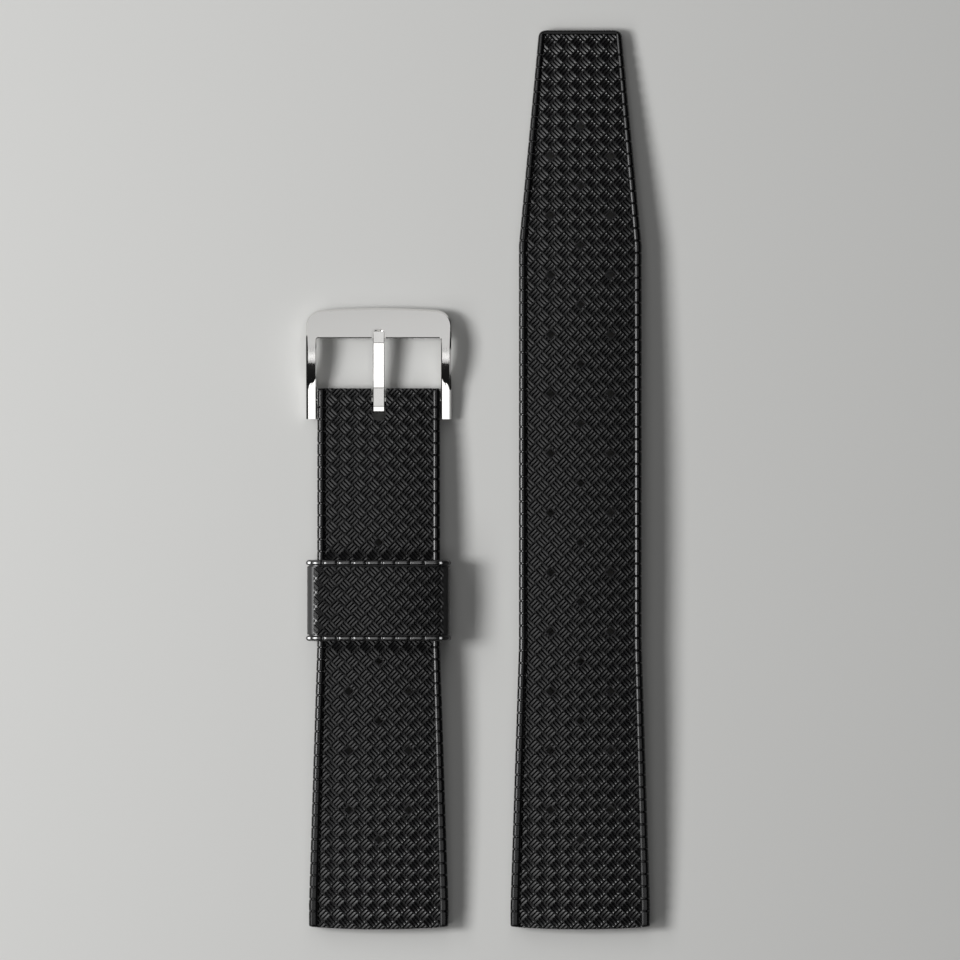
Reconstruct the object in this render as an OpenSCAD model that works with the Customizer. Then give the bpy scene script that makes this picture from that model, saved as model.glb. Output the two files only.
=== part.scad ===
// Rubber watch strap with a pin buckle, laid out as two halves side by side.
// Millimetres. The strap faces up, X runs across it and Y along it, with the lug ends at low Y.
// The origin is at the middle of the layout, on the surface that it lies on.

/* [Strap] */
// Width of the two lug ends, which fit between the watch's lugs
lug_w = 20; // [18.4:0.2:22]
// Width of both halves beyond the taper
mid_w = 17.6; // [16:0.2:18.2]
// Width of the long half at its free tip
tip_w = 11.8; // [10:0.2:14]
// Length of the long half, from lug end to tip
tail_len = 129; // [116:1:140]
// Length of the short half, from lug end to buckle end
short_len = 77.6; // [72:0.4:86]
// Thickness at the lug ends
lug_t = 3.6; // [3.4:0.1:4.4]
// Thickness at the buckle end
end_t = 3.5; // [3.4:0.1:4]
// Thickness of the short half at mid-length
short_t = 2.5; // [2.2:0.1:2.8]
// Thickness of the long half at mid-length
tail_t = 2.4; // [2:0.1:2.8]
// Thickness of the long half at its tip
tip_t = 2.2; // [1.8:0.1:2.6]
// Rise of the long half's underside at mid-length, from its moulded curve
tail_rise = 3; // [1:0.2:5]
// Length of each lug end before it starts to taper
lug_flat = 3.5; // [3:0.5:6]
// Length over which the lug width tapers to the middle width
taper_len = 37.3; // [20:0.5:38]
// Length over which the long half tapers to its tip
tip_taper_len = 30.9; // [20:0.5:40]
// Amount by which each lug end bulges beyond its rims
lug_bow = 0.4; // [0:0.1:0.6]
// Radius of the tip's corners, seen from above
tip_corner_r = 0.9; // [0.4:0.1:1.5]
// Radius of the lower edges at the ends
low_edge_r = 0.9; // [0.5:0.1:1]
// Radius of the upper edges at the ends
top_edge_r = 0.4; // [0.2:0.1:0.6]
// Radius of the bore for the watch's spring bar
lug_bore_r = 0.95; // [0.8:0.05:1]
// Distance of that bore from the end of the lug end
lug_bore_in = 2; // [1.9:0.1:2.5]
// Space between the centre lines of the two halves as laid out
lay_pitch = 28.9; // [24:0.5:40]

/* [Rims and panel] */
// Width of each side rim at the lug end
rim_lug = 1.2; // [1:0.1:1.6]
// Width of each side rim along the middle
rim_mid = 1; // [0.8:0.1:1.2]
// Width of each side rim at the tip
rim_tip = 0.8; // [0.6:0.1:1]
// Width of the plain band across the tip
tip_band = 0.66; // [0.6:0.02:2]
// Depth of the woven panel's floor below the rims
recess = 0.4; // [0.3:0.05:0.5]
// Depth of the nicks across the rims
nick_deep = 0.22; // [0.1:0.02:0.28]
// Width of those nicks at the surface
nick_w = 0.2; // [0.1:0.02:0.4]
// Distance from the lug end to the first nick
nick_first = 2.65; // [2:0.05:4]
// Spacing of the nicks on the long half
tail_nick_pitch = 1.78; // [1.2:0.02:2.4]
// Spacing of the nicks on the short half
short_nick_pitch = 1.72; // [1.2:0.02:2.4]

/* [Adjustment holes] */
// Corner to corner size of the centre holes
hole_across = 1.25; // [1:0.05:1.6]
// Corner to corner size of the side holes
side_hole_across = 1.35; // [1:0.05:1.6]
// Distance of the side holes from the centre line
side_hole_x = 4.29; // [3.4:0.01:4.8]
// Spacing of the holes along the strap
hole_pitch = 8.52; // [6:0.02:10]
// Distance from the lug end to the first centre hole
hole_first = 12.9; // [10:0.1:16]
// Length left without centre holes at the tip
tip_plain = 13; // [8:0.5:16]
// Length left without centre holes at the buckle end
buckle_plain = 21; // [12:0.5:26]

/* [Keeper] */
// Length of the keeper along the strap
keeper_len = 11.6; // [8:0.2:14]
// Thickness of its wall
keeper_wall = 1.15; // [0.9:0.05:1.4]
// Clear space at each side between keeper and strap
keeper_side_gap = 0.3; // [0.2:0.05:0.5]
// Clear space over and under the two straps that it holds
keeper_slack = 0.1; // [0.1:0.05:0.6]
// Clear height between its lower wall and the strap's underside
keeper_lift = 1.3; // [1:0.1:1.6]
// Outer radius of its long edges
keeper_r = 2.3; // [1.6:0.1:2.6]
// Width of the beaded rim at each end
bead_len = 0.8; // [0.6:0.05:1.2]
// Height of the beads above the wall
bead_h = 0.15; // [0.1:0.01:0.2]
// Width of the groove between beads and weave
groove_w = 0.2; // [0.1:0.02:0.3]
// Depth of that groove
groove_deep = 0.15; // [0.1:0.01:0.2]
// Spacing of the beads
bead_pitch = 2.1; // [1.6:0.1:3]
// Gap between two beads
bead_gap = 0.5; // [0.3:0.05:0.7]
// Distance from the strap's buckle end to the keeper
keeper_back = 24.6; // [20:0.2:28]

/* [Buckle frame] */
// Clear space at each side between the strap and the arms
arm_gap = 0.15; // [0.1:0.05:0.3]
// Width of each arm
arm_w = 1.45; // [1.2:0.05:1.8]
// Distance from the spring bar to the front edge
reach = 13.25; // [12:0.05:16]
// Width of the front bar along the strap
bar_w = 4.35; // [3:0.05:5]
// Sag of the front edge from its middle to the corners
front_sag = 0.3; // [0:0.05:0.8]
// Radius of the two front corners
front_r = 2.2; // [1:0.1:3]
// Distance from the spring bar to the ends of the ears
ear_back = 2.7; // [1.8:0.1:3.2]
// Distance from the spring bar to where the ears meet the arms
ear_fore = 2.9; // [2.4:0.1:3.4]
// Height of the ears' ends above the resting surface
ear_end_top = 2.15; // [2.1:0.05:2.3]
// Height of the ears where they meet the arms
ear_top = 2.9; // [2.75:0.05:3.1]
// Metal between the ear's hole and its lower edge
ear_under = 0.85; // [0.6:0.05:1]
// Distance from the spring bar to the crest of the arms
crest_y = 8; // [7:0.1:8.5]
// Height of the arms at their crest
arm_top = 4.2; // [4:0.05:4.4]
// Height of the front edge
front_top = 2.4; // [2.2:0.05:2.7]
// Bend of the front bar's top, from 1 for straight to 2 for a parabola
front_bend = 1.5; // [1.2:0.1:2]
// Thickness of the arms at their crest
arm_t = 2.2; // [2:0.05:2.4]

/* [Buckle tongue] */
// Width of the tongue
tongue_w = 1.65; // [1.4:0.05:2]
// Length of the tongue's tip that lies on the front bar
tip_on_bar = 1.2; // [0.8:0.05:1.6]
// Radius of the tongue's head round the spring bar
head_r = 1.7; // [1.4:0.05:1.7]
// Height of the head's flat top above the spring bar's axis
head_top = 1.3; // [1.2:0.05:1.5]
// Distance from the spring bar to the end of that flat top
head_fore = 1.8; // [1.6:0.1:2.4]
// Distance from the spring bar back to the facet at the heel
heel_fore = 0.85; // [0.5:0.05:1.2]
// Drop of that facet towards the back of the head
heel_drop = 0.12; // [0.05:0.01:0.3]
// Distance from the crease near the tip to the front bar
crease_gap = 0.65; // [0.4:0.05:1]
// Height of that crease above the spring bar's axis
crease_top = 2.3; // [2.15:0.05:2.4]
// Height of the tip's upper face above the same axis
tip_top = 2; // [1.85:0.05:2.1]
// Thickness of the tongue at its tip
tip_thick = 0.9; // [0.7:0.05:1]
// Thickness of the shank where it leaves the head
shank_t = 1; // [0.8:0.05:1.1]
// Bevel round the tip
tip_bevel = 0.25; // [0.1:0.05:0.3]
// Radius of the tip's corners, seen from above
tongue_tip_r = 0.6; // [0.3:0.05:0.65]
// Clear space beside the tongue in the strap's slot
slot_gap = 0.225; // [0.15:0.025:0.3]
// Length of the slot in the strap's buckle end
slot_len = 4.7; // [4.2:0.1:5.4]
// Clear space round the tip in the front bar's notch
notch_gap = 0.2; // [0.1:0.05:0.3]
// Clear space under the tip in that notch
notch_under = 0.03; // [0.02:0.01:0.1]

/* [Spring bar] */
// Distance of the spring bar from the strap's buckle end
bar_in = 1.72; // [1.7:0.02:2]
// Outer radius of the spring bar's tube
tube_r = 0.75; // [0.7:0.01:0.8]
// Wall of the tube
tube_wall = 0.2; // [0.15:0.01:0.22]
// Length of the lip at each end of the tube
lip_len = 0.4; // [0.3:0.05:0.6]
// Radius of the end pins
pin_r = 0.4; // [0.36:0.01:0.42]
// Running clearance of every round part in its hole
run_gap = 0.05; // [0.03:0.01:0.06]
// Clear space between the tube's end and the ear
tube_end_gap = 0.2; // [0.1:0.05:0.3]
// Metal left outside the pin's tip in the ear's hole
pin_short = 0.25; // [0.1:0.05:0.4]
// Length of the pin's collar inside the tube
collar_len = 1.2; // [0.8:0.1:1.6]
// Wire diameter of the coil spring
wire_d = 0.15; // [0.1:0.01:0.18]
// Turns of the coil spring
turns = 22; // [16:1:24]

/* [Hidden] */

// Smoothness of the circles, and steps along curves and round corners
$fn = 64;
curve_steps = 24;
corner_steps = 6;
// Length by which a cut runs past the face that it opens
past = 1;

// Widths and heights of the keeper and the buckle, from the strap that they hold
keeper_in_w = mid_w + 2 * keeper_side_gap;
keeper_in_h = short_t + tail_t + keeper_slack;
keeper_body_w = keeper_in_w + 2 * keeper_wall;
keeper_body_h = keeper_in_h + 2 * keeper_wall;
keeper_w = keeper_body_w + 2 * bead_h;
window_w = mid_w + 2 * arm_gap;
frame_w = window_w + 2 * arm_w;
short_rise = bead_h + keeper_wall + keeper_lift;

// Places of the two centre lines, the lug ends and the spring bar in the layout
left_half_w = max(keeper_w, frame_w, lug_w) / 2;
layout_w = left_half_w + lay_pitch + lug_w / 2;
short_x = left_half_w - layout_w / 2;
tail_x = short_x + lay_pitch;
lug_y = -tail_len / 2;
bar_y = short_len - bar_in;
bar_z = end_t / 2;

// The spring bar's parts along its axis
tube_len = window_w - 2 * tube_end_gap;
tube_bore_r = tube_r - tube_wall;
collar_r = tube_bore_r - run_gap;
pin_tip_x = frame_w / 2 - pin_short;
collar_x = tube_len / 2 - lip_len;
spring_len = 2 * (collar_x - collar_len);

// Strap outlines from above, as distance from the lug end and half width
tail_sides = [
    [0, lug_w / 2],
    [lug_flat, lug_w / 2],
    [lug_flat + taper_len, mid_w / 2],
    [tail_len - tip_taper_len, mid_w / 2],
    [tail_len, tip_w / 2]
];
short_sides = [
    [0, lug_w / 2],
    [lug_flat, lug_w / 2],
    [lug_flat + taper_len, mid_w / 2],
    [short_len, mid_w / 2]
];

// Value at t from 0 to 1 of the parabola through a at 0, m at one half and b at 1
function quad(t, a, m, b) = a * (1 - t) * (1 - 2 * t) + 4 * m * t * (1 - t) + b * t * (2 * t - 1);

function arc(centre, r, from, to, steps = corner_steps) = [
    for (i = [0:steps])
        let (a = from + (to - from) * i / steps)
            centre + r * [cos(a), sin(a)]
];

function rounded_box(w, h, r) = concat(
    arc([w / 2 - r, h - r], r, 0, 90),
    arc([r - w / 2, h - r], r, 90, 180),
    arc([r - w / 2, r], r, 180, 270),
    arc([w / 2 - r, r], r, 270, 360)
);

// Fraction of the way from the first to the last point that the moulded curve runs over
function along(y, len, r) = min(1, max(0, (y - r) / (len - 2 * r)));

function top_z(y, len, rise, t_mid, t_far) =
    quad(along(y, len, top_edge_r), lug_t, rise + t_mid, t_far);

function under_z(y, len, rise) = quad(along(y, len, low_edge_r), 0, rise, 0);

// Side view of a half: underside, far end, upper face and lug end
function side_view(len, rise, t_mid, t_far) = concat(
    arc([low_edge_r, low_edge_r], low_edge_r, 180, 270),
    [for (i = [1:curve_steps - 1])
        let (y = low_edge_r + (len - 2 * low_edge_r) * i / curve_steps)
            [y, under_z(y, len, rise)]],
    arc([len - low_edge_r, low_edge_r], low_edge_r, 270, 360),
    arc([len - top_edge_r, t_far - top_edge_r], top_edge_r, 0, 90),
    [for (i = [curve_steps - 1:-1:1])
        let (y = top_edge_r + (len - 2 * top_edge_r) * i / curve_steps)
            [y, top_z(y, len, rise, t_mid, t_far)]],
    arc([top_edge_r, lug_t - top_edge_r], top_edge_r, 90, 180)
);

// Lug end seen from above, bulging towards low y at the centre line
function lug_edge(half) = [
    for (i = [-corner_steps:corner_steps])
        let (x = half * i / corner_steps)
            [x, lug_bow * pow(i / corner_steps, 2)]
];

function mirrored(points) = [for (i = [len(points) - 1:-1:0]) [-points[i][0], points[i][1]]];

function right_side(sides) = [for (s = sides) if (s[0] > lug_bow) [s[1], s[0]]];

// The flat shape of the children, given as y and z, drawn w wide across the strap
module across(w) {
    rotate([90, 0, 90])
        linear_extrude(w, center = true)
            children();
}

module strap_blank(len, rise, t_mid, t_far, nick_pitch, outline) {
    nicks = floor((len - 2 * nick_first) / nick_pitch);
    intersection() {
        across(lug_w + 2 * past)
            difference() {
                polygon(side_view(len, rise, t_mid, t_far));
                for (i = [0:nicks])
                    let (y = nick_first + i * nick_pitch)
                        translate([y, top_z(y, len, rise, t_mid, t_far)])
                            polygon([[-nick_w, nick_deep], [0, -nick_deep], [nick_w, nick_deep]]);
            }
        translate([0, 0, -past])
            linear_extrude(rise + t_mid + 3 * past)
                polygon(outline);
    }
}

// The space above the woven panel's floor, between the rims
module panel_space(len, rise, t_mid, t_far, outline) {
    far = len + past;
    high = rise + t_mid + 2 * past;
    intersection() {
        across(lug_w)
            polygon(concat(
                [[-past, high], [-past, lug_t - recess]],
                [for (i = [0:curve_steps])
                    let (y = top_edge_r + (len - 2 * top_edge_r) * i / curve_steps)
                        [y, top_z(y, len, rise, t_mid, t_far) - recess]],
                [[far, t_far - recess], [far, high]]
            ));
        linear_extrude(high + past)
            polygon(outline);
    }
}

module diamond(size) {
    translate([0, 0, -past])
        linear_extrude(tail_rise + short_rise + lug_t + 2 * past)
            rotate(45)
                square(size / sqrt(2), center = true);
}

// Centre holes at one spacing, with a pair of side holes midway between two of them
module adjustment_holes(count) {
    for (i = [0:count - 1])
        translate([0, hole_first + i * hole_pitch, 0])
            diamond(hole_across);
    for (i = [0:count - 2], side = [-1, 1])
        translate([side * side_hole_x, hole_first + (i + 0.5) * hole_pitch, 0])
            diamond(side_hole_across);
}

module cross_bore(y, z, r) {
    translate([0, y, z])
        rotate([0, 90, 0])
            cylinder(h = lug_w + 2 * past, r = r, center = true);
}

// Slot open at the buckle end, with a round bottom
module tongue_slot() {
    r = tongue_w / 2 + slot_gap;
    bottom = short_len - slot_len;
    translate([0, 0, -past])
        linear_extrude(short_rise + lug_t + 2 * past)
            polygon(concat(
                arc([0, bottom + r], r, 180, 360, 2 * corner_steps),
                [[r, short_len + past], [-r, short_len + past]]
            ));
}

module strap_buckle_half() {
    far = short_len + past;
    outline = concat(lug_edge(lug_w / 2), right_side(short_sides), mirrored(right_side(short_sides)));
    panel_lug = lug_w / 2 - rim_lug;
    panel_mid = mid_w / 2 - rim_mid;
    panel_side = [
        [panel_lug, -past],
        [panel_lug, lug_flat],
        [panel_mid, lug_flat + taper_len],
        [panel_mid, far]
    ];
    holes = floor((short_len - buckle_plain - hole_first) / hole_pitch) + 1;
    color("#1c1c1d")
        translate([short_x, lug_y, 0])
            difference() {
                strap_blank(short_len, short_rise, short_t, end_t, short_nick_pitch, outline);
                panel_space(short_len, short_rise, short_t, end_t, concat(panel_side, mirrored(panel_side)));
                adjustment_holes(holes);
                cross_bore(lug_bore_in, lug_t / 2, lug_bore_r);
                cross_bore(bar_y, bar_z, tube_r + run_gap);
                tongue_slot();
            }
}

module strap_tail_half() {
    turn = atan2(mid_w / 2 - tip_w / 2, tip_taper_len);
    corner = [tip_w / 2 - tip_corner_r, tail_len - tip_corner_r];
    side = concat(
        [for (s = tail_sides) if (s[0] > lug_bow && s[0] < tail_len) [s[1], s[0]]],
        arc(corner, tip_corner_r, turn, 90)
    );
    outline = concat(lug_edge(lug_w / 2), side, mirrored(side));
    panel_lug = lug_w / 2 - rim_lug;
    panel_mid = mid_w / 2 - rim_mid;
    panel_side = [
        [panel_lug, -past],
        [panel_lug, lug_flat],
        [panel_mid, lug_flat + taper_len],
        [panel_mid, tail_len - tip_taper_len],
        [tip_w / 2 - rim_tip, tail_len - tip_band]
    ];
    holes = floor((tail_len - tip_plain - hole_first) / hole_pitch) + 1;
    color("#1c1c1d")
        translate([tail_x, lug_y, 0])
            difference() {
                strap_blank(tail_len, tail_rise, tail_t, tip_t, tail_nick_pitch, outline);
                panel_space(tail_len, tail_rise, tail_t, tip_t, concat(panel_side, mirrored(panel_side)));
                adjustment_holes(holes);
                cross_bore(lug_bore_in, lug_t / 2, lug_bore_r);
            }
}

// One ring round the strap, from y to y + len, grown outwards by out
module keeper_ring(y, len, out) {
    translate([0, y + len, bead_h - out])
        rotate([90, 0, 0])
            linear_extrude(len)
                difference() {
                    polygon(rounded_box(keeper_body_w + 2 * out, keeper_body_h + 2 * out, keeper_r + out));
                    translate([0, keeper_wall + out])
                        polygon(rounded_box(keeper_in_w, keeper_in_h, keeper_r - keeper_wall));
                }
}

// Gaps across the upper face that split an end ring into beads
module bead_gaps() {
    count = floor((keeper_body_w - 2 * keeper_r) / bead_pitch / 2);
    for (i = [-count:count])
        translate([i * bead_pitch - bead_gap / 2, -past, bead_h + keeper_body_h])
            cube([bead_gap, keeper_len + 2 * past, past]);
}

module keeper() {
    color("#1c1c1d")
        translate([short_x, lug_y + short_len - keeper_back - keeper_len, 0])
            difference() {
                union() {
                    keeper_ring(0, bead_len, bead_h);
                    keeper_ring(bead_len, groove_w, -groove_deep);
                    keeper_ring(bead_len + groove_w, keeper_len - 2 * (bead_len + groove_w), 0);
                    keeper_ring(keeper_len - bead_len - groove_w, groove_w, -groove_deep);
                    keeper_ring(keeper_len - bead_len, bead_len, bead_h);
                }
                bead_gaps();
            }
}

// Moves children from the spring bar's axis to its place in the layout
module at_bar() {
    translate([short_x, lug_y + bar_y, bar_z])
        children();
}

// Outline of the frame from above, with the spring bar at the origin
function frame_outline() =
    let (
        half = frame_w / 2,
        flat = half - front_r,
        side = concat(
            [[half, -ear_back]],
            arc([flat, reach - front_sag - front_r], front_r, 0, 90),
            [for (i = [corner_steps - 1:-1:1])
                let (t = i / corner_steps)
                    [flat * t, reach - front_sag * t * t]]
        )
    )
    concat(side, [[0, reach]], mirrored(side));

// Side view of the frame: along the top from the ears to the front edge, then back below
function frame_side() =
    let (ear_low = bar_z - pin_r - run_gap - ear_under)
    concat(
        [[-ear_back, ear_end_top]],
        [for (i = [0:curve_steps])
            let (t = 1 - i / curve_steps)
                [crest_y - (crest_y - ear_fore) * t, arm_top - (arm_top - ear_top) * t * t]],
        [for (i = [1:curve_steps])
            let (t = i / curve_steps)
                [crest_y + (reach - crest_y) * t, arm_top - (arm_top - front_top) * pow(t, front_bend)]],
        [for (i = [curve_steps:-1:0])
            let (t = i / curve_steps)
                [ear_fore + (reach - ear_fore) * t, quad(t, ear_low, arm_top - arm_t, 0)]],
        [[-ear_back, ear_low]]
    );

// Place of the tongue's tip, and height of its seat in the front bar above the spring bar's axis
tip_y = reach - bar_w + tip_on_bar;
seat = tip_top - tip_thick - notch_under;

// Plan of the tongue's front, from y to its tip, grown sideways and forwards by gap
module tip_plan(y, gap) {
    half = tongue_w / 2 + gap;
    r = tongue_tip_r + gap;
    corner = [half - r, tip_y + gap - r];
    polygon(concat(
        arc(corner, r, 0, 90),
        arc([-corner[0], corner[1]], r, 90, 180),
        [[-half, y], [half, y]]
    ));
}

module buckle_frame() {
    color("#c4c4c2")
        at_bar()
            difference() {
                intersection() {
                    translate([0, 0, -bar_z - past])
                        linear_extrude(arm_top + 2 * past)
                            polygon(frame_outline());
                    across(frame_w + 2 * past)
                        translate([0, -bar_z])
                            polygon(frame_side());
                }
                translate([-window_w / 2, -ear_back - past, -bar_z - past])
                    cube([window_w, reach - bar_w + ear_back + past, arm_top + 2 * past]);
                translate([0, 0, seat])
                    linear_extrude(arm_top)
                        tip_plan(0, notch_gap);
                rotate([0, 90, 0])
                    cylinder(h = frame_w + 2 * past, r = pin_r + run_gap, center = true);
            }
}

module buckle_tongue() {
    crease_y = reach - bar_w - crease_gap;
    tip_low = tip_top - tip_thick;
    back = -head_r - past;
    color("#c9c9c7")
        at_bar()
            difference() {
                intersection() {
                    translate([0, 0, back])
                        linear_extrude(-2 * back)
                            tip_plan(back, 0);
                    across(tongue_w + 2 * past)
                        union() {
                            intersection() {
                                circle(head_r);
                                translate([-2 * head_r, -2 * head_r])
                                    square([4 * head_r, 2 * head_r + head_top / 2]);
                            }
                            polygon([
                                [-heel_fore, head_top],
                                [-head_r, head_top - heel_drop],
                                [-head_r, 0],
                                [head_r, 0],
                                [head_fore, head_top - shank_t],
                                [crease_y, tip_low],
                                [tip_y - tip_bevel, tip_low],
                                [tip_y, tip_low + tip_bevel],
                                [tip_y, tip_top - tip_bevel],
                                [tip_y - tip_bevel, tip_top],
                                [crease_y, crease_top],
                                [head_fore, head_top]
                            ]);
                        }
                }
                rotate([0, 90, 0])
                    cylinder(h = tongue_w + 2 * past, r = tube_r + run_gap, center = true);
            }
}

module springbar_tube() {
    color("#b4b4b2")
        at_bar()
            rotate([0, 90, 0])
                difference() {
                    cylinder(h = tube_len, r = tube_r, center = true);
                    cylinder(h = tube_len - 2 * lip_len, r = tube_bore_r, center = true);
                    cylinder(h = tube_len + 2 * past, r = pin_r + run_gap, center = true);
                }
}

// A pin with its collar, pointing along +X
module end_pin() {
    rotate([0, 90, 0]) {
        translate([0, 0, collar_x - collar_len])
            cylinder(h = pin_tip_x - collar_x + collar_len, r = pin_r);
        translate([0, 0, collar_x - collar_len])
            cylinder(h = collar_len, r = collar_r);
    }
}

module springbar_pin_right() {
    color("#b4b4b2")
        at_bar()
            end_pin();
}

module springbar_pin_left() {
    color("#b4b4b2")
        at_bar()
            mirror([1, 0, 0])
                end_pin();
}

// The coil spring: rings of wire swept along a helix
wire_sides = 6;
turn_steps = 10;
coil_r = tube_bore_r - run_gap - wire_d / 2;
coil_pitch = (spring_len - wire_d) / turns;
coil_rings = turns * turn_steps;
coil_points = [
    for (i = [0:coil_rings])
        let (a = 360 * i / turn_steps, x = (i / coil_rings - 0.5) * (spring_len - wire_d))
            for (k = [0:wire_sides - 1])
                let (b = 360 * k / wire_sides, r = coil_r + wire_d / 2 * cos(b))
                    [x + wire_d / 2 * sin(b), r * cos(a), r * sin(a)]
];
coil_faces = concat(
    [for (i = [0:coil_rings - 1], k = [0:wire_sides - 1], half = [0, 1])
        let (
            a = i * wire_sides + k,
            b = i * wire_sides + (k + 1) % wire_sides
        )
            half == 0 ? [a, b, a + wire_sides] : [b, b + wire_sides, a + wire_sides]],
    [[for (k = [wire_sides - 1:-1:0]) k]],
    [[for (k = [0:wire_sides - 1]) coil_rings * wire_sides + k]]
);

module springbar_spring() {
    echo(spring_gap = coil_pitch - wire_d);
    color("#9c9c9a")
        at_bar()
            polyhedron(coil_points, coil_faces);
}

strap_buckle_half();
strap_tail_half();
keeper();
buckle_frame();
buckle_tongue();
springbar_tube();
springbar_spring();
springbar_pin_left();
springbar_pin_right();
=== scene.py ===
import math

import bmesh
import bpy
import numpy as np
from mathutils import Matrix, Vector


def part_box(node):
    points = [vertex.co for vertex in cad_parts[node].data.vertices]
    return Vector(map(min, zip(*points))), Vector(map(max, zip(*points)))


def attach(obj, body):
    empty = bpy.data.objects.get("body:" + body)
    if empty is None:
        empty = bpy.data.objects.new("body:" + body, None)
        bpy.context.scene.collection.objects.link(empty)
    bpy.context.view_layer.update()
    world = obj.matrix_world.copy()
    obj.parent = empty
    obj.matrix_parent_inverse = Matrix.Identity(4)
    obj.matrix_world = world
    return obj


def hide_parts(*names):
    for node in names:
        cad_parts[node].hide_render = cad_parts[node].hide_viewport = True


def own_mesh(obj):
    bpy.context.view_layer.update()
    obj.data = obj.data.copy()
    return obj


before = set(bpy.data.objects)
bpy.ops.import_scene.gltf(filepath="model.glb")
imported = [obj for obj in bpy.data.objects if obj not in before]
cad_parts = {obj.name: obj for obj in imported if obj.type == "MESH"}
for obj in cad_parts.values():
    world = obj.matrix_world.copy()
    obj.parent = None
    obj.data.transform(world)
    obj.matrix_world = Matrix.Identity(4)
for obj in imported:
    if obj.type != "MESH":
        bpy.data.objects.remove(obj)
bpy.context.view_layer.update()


# The two strap halves
# Each half is one moulding of black rubber: the woven relief, the nicked rims, the diamond holes
# and the cross bores all come from the same steel mould, and nothing is sewn or glued to it.

# Sizes are in millimetres, but for the floor's and the lamps', which are in metres
MM = 0.001
LUG_THICK = 3.6
END_THICK = 3.5
# The lug end bulges: its corners stand back by LUG_BOW, and the bulge fades out over LUG_BOW_FADE
LUG_BOW = 0.4
LUG_BOW_FADE = 2.4
# Radii of the lug corners from above, the ends' lower and upper edges, and the sides' lower edges
LUG_CORNER_R = 0.3
LOW_EDGE_R = 0.9
TOP_EDGE_R = 0.4
SIDE_LOW_R = 0.35
# The woven panel lies under the rims and falls off to its sides by PANEL_CURVE times x squared
LEAST_RIM = 0.75
PANEL_DROP = 0.16
PANEL_CURVE = 0.0036
PANEL_STEPS = 5
LEAST_DROP = 0.01
FOOT_GROOVE = 0.02
# At the tip the panel ramps up to a plain band
BAND_RAMP = 0.14
BAND_STATIONS = [-0.01, 0.015, 0.06, BAND_RAMP]
# Nicks across the rims, which also reach into the sides by a share of their depth
NICK_DEEP = 0.34
NICK_HALF = 0.17
NICK_FLOOR_HALF = 0.05
NICK_INTO_SIDE = 0.5
NICK_PROFILE = [(-NICK_HALF, 0), (-NICK_FLOOR_HALF, 1), (NICK_FLOOR_HALF, 1), (NICK_HALF, 0)]
FIRST_NICK = 2.65
LOW_CORNER_STEPS = 6
OPEN_END = 1
# Sections stand close together where the ends are rounded
END_STEPS = 6
END_STATIONS = [TOP_EDGE_R * (1 - math.cos(math.pi / (2 * END_STEPS) * i)) for i in range(END_STEPS + 1)]
END_STATIONS += [(TOP_EDGE_R + LOW_EDGE_R) / 2, LOW_EDGE_R]


def parabola(t, start, middle, end):
    """The parabola through start at 0, middle at one half and end at 1."""
    return start * (1 - t) * (1 - 2 * t) + 4 * middle * t * (1 - t) + end * t * (2 * t - 1)


def rounding(radius, distance):
    """Drop of a rounded edge at a distance inside the end that it rounds."""
    short = max(0, radius - distance)
    return radius - math.sqrt(radius**2 - short**2)


def broken_edge(*facets):
    """An edge eased by facets, each a (slope, width): points as (distance inwards, drop)."""
    points = [(0, 0)]
    for slope, width in facets:
        x, drop = points[-1]
        points.append((x + width, drop + width * math.tan(math.radians(slope))))
    reach = points[-1][0]
    return [(reach - x, drop) for x, drop in points]


def between(stops, y):
    """Value at y on the straight lines through stops, a list of (y, value)."""
    return float(np.interp(y, [s[0] for s in stops], [s[1] for s in stops]))


def skin(rings, count, closed=False):
    """Faces between neighbouring rings of points, with count points in each."""
    faces = []
    for r in range(rings if closed else rings - 1):
        here = r * count
        there = (r + 1) % rings * count
        for j in range(count):
            k = (j + 1) % count
            faces.append((here + j, here + k, there + k, there + j))
    return faces


def new_piece(name, points, faces):
    """A closed mesh object in millimetres, with its faces turned outwards."""
    mesh = bpy.data.meshes.new(name)
    mesh.from_pydata(points, [], faces)
    shell = bmesh.new()
    shell.from_mesh(mesh)
    bmesh.ops.recalc_face_normals(shell, faces=shell.faces)
    shell.to_mesh(mesh)
    shell.free()
    piece = bpy.data.objects.new(name, mesh)
    bpy.context.scene.collection.objects.link(piece)
    return piece


def settle(piece):
    """Makes what the modifiers give the piece's own mesh, and removes them."""
    shown = piece.evaluated_get(bpy.context.evaluated_depsgraph_get())
    mesh = bpy.data.meshes.new_from_object(shown)
    piece.modifiers.clear()
    piece.data = mesh
    mesh.name = piece.name


def combine(piece, operation, other):
    """Cuts or trims the piece with another closed one, which is used up."""
    step = piece.modifiers.new(operation, "BOOLEAN")
    step.operation = operation
    step.solver = "MANIFOLD"
    step.object = other
    settle(piece)
    bpy.data.objects.remove(other)


def prism(name, outline, low, high):
    """An upright block over an outline of (x, y) points."""
    count = len(outline)
    points = [(x, y, low) for x, y in outline] + [(x, y, high) for x, y in outline]
    return new_piece(name, points, [tuple(range(count)), tuple(range(count, 2 * count))] + skin(2, count))


def rod(name, axis_y, axis_z, radius, reach, sides=64):
    """A round bar along X, centred on x = 0."""
    ring = [2 * math.pi * i / sides for i in range(sides)]
    points = [
        (x, axis_y + radius * math.cos(a), axis_z + radius * math.sin(a))
        for x in (-reach, reach)
        for a in ring
    ]
    return new_piece(name, points, [tuple(range(sides)), tuple(range(sides, 2 * sides))] + skin(2, sides))


def arc(cx, cy, radius, start, end, steps):
    """Points on a circle from one angle to another, in degrees."""
    angles = [math.radians(start + (end - start) * i / steps) for i in range(steps + 1)]
    return [(cx + radius * math.cos(a), cy + radius * math.sin(a)) for a in angles]


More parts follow.
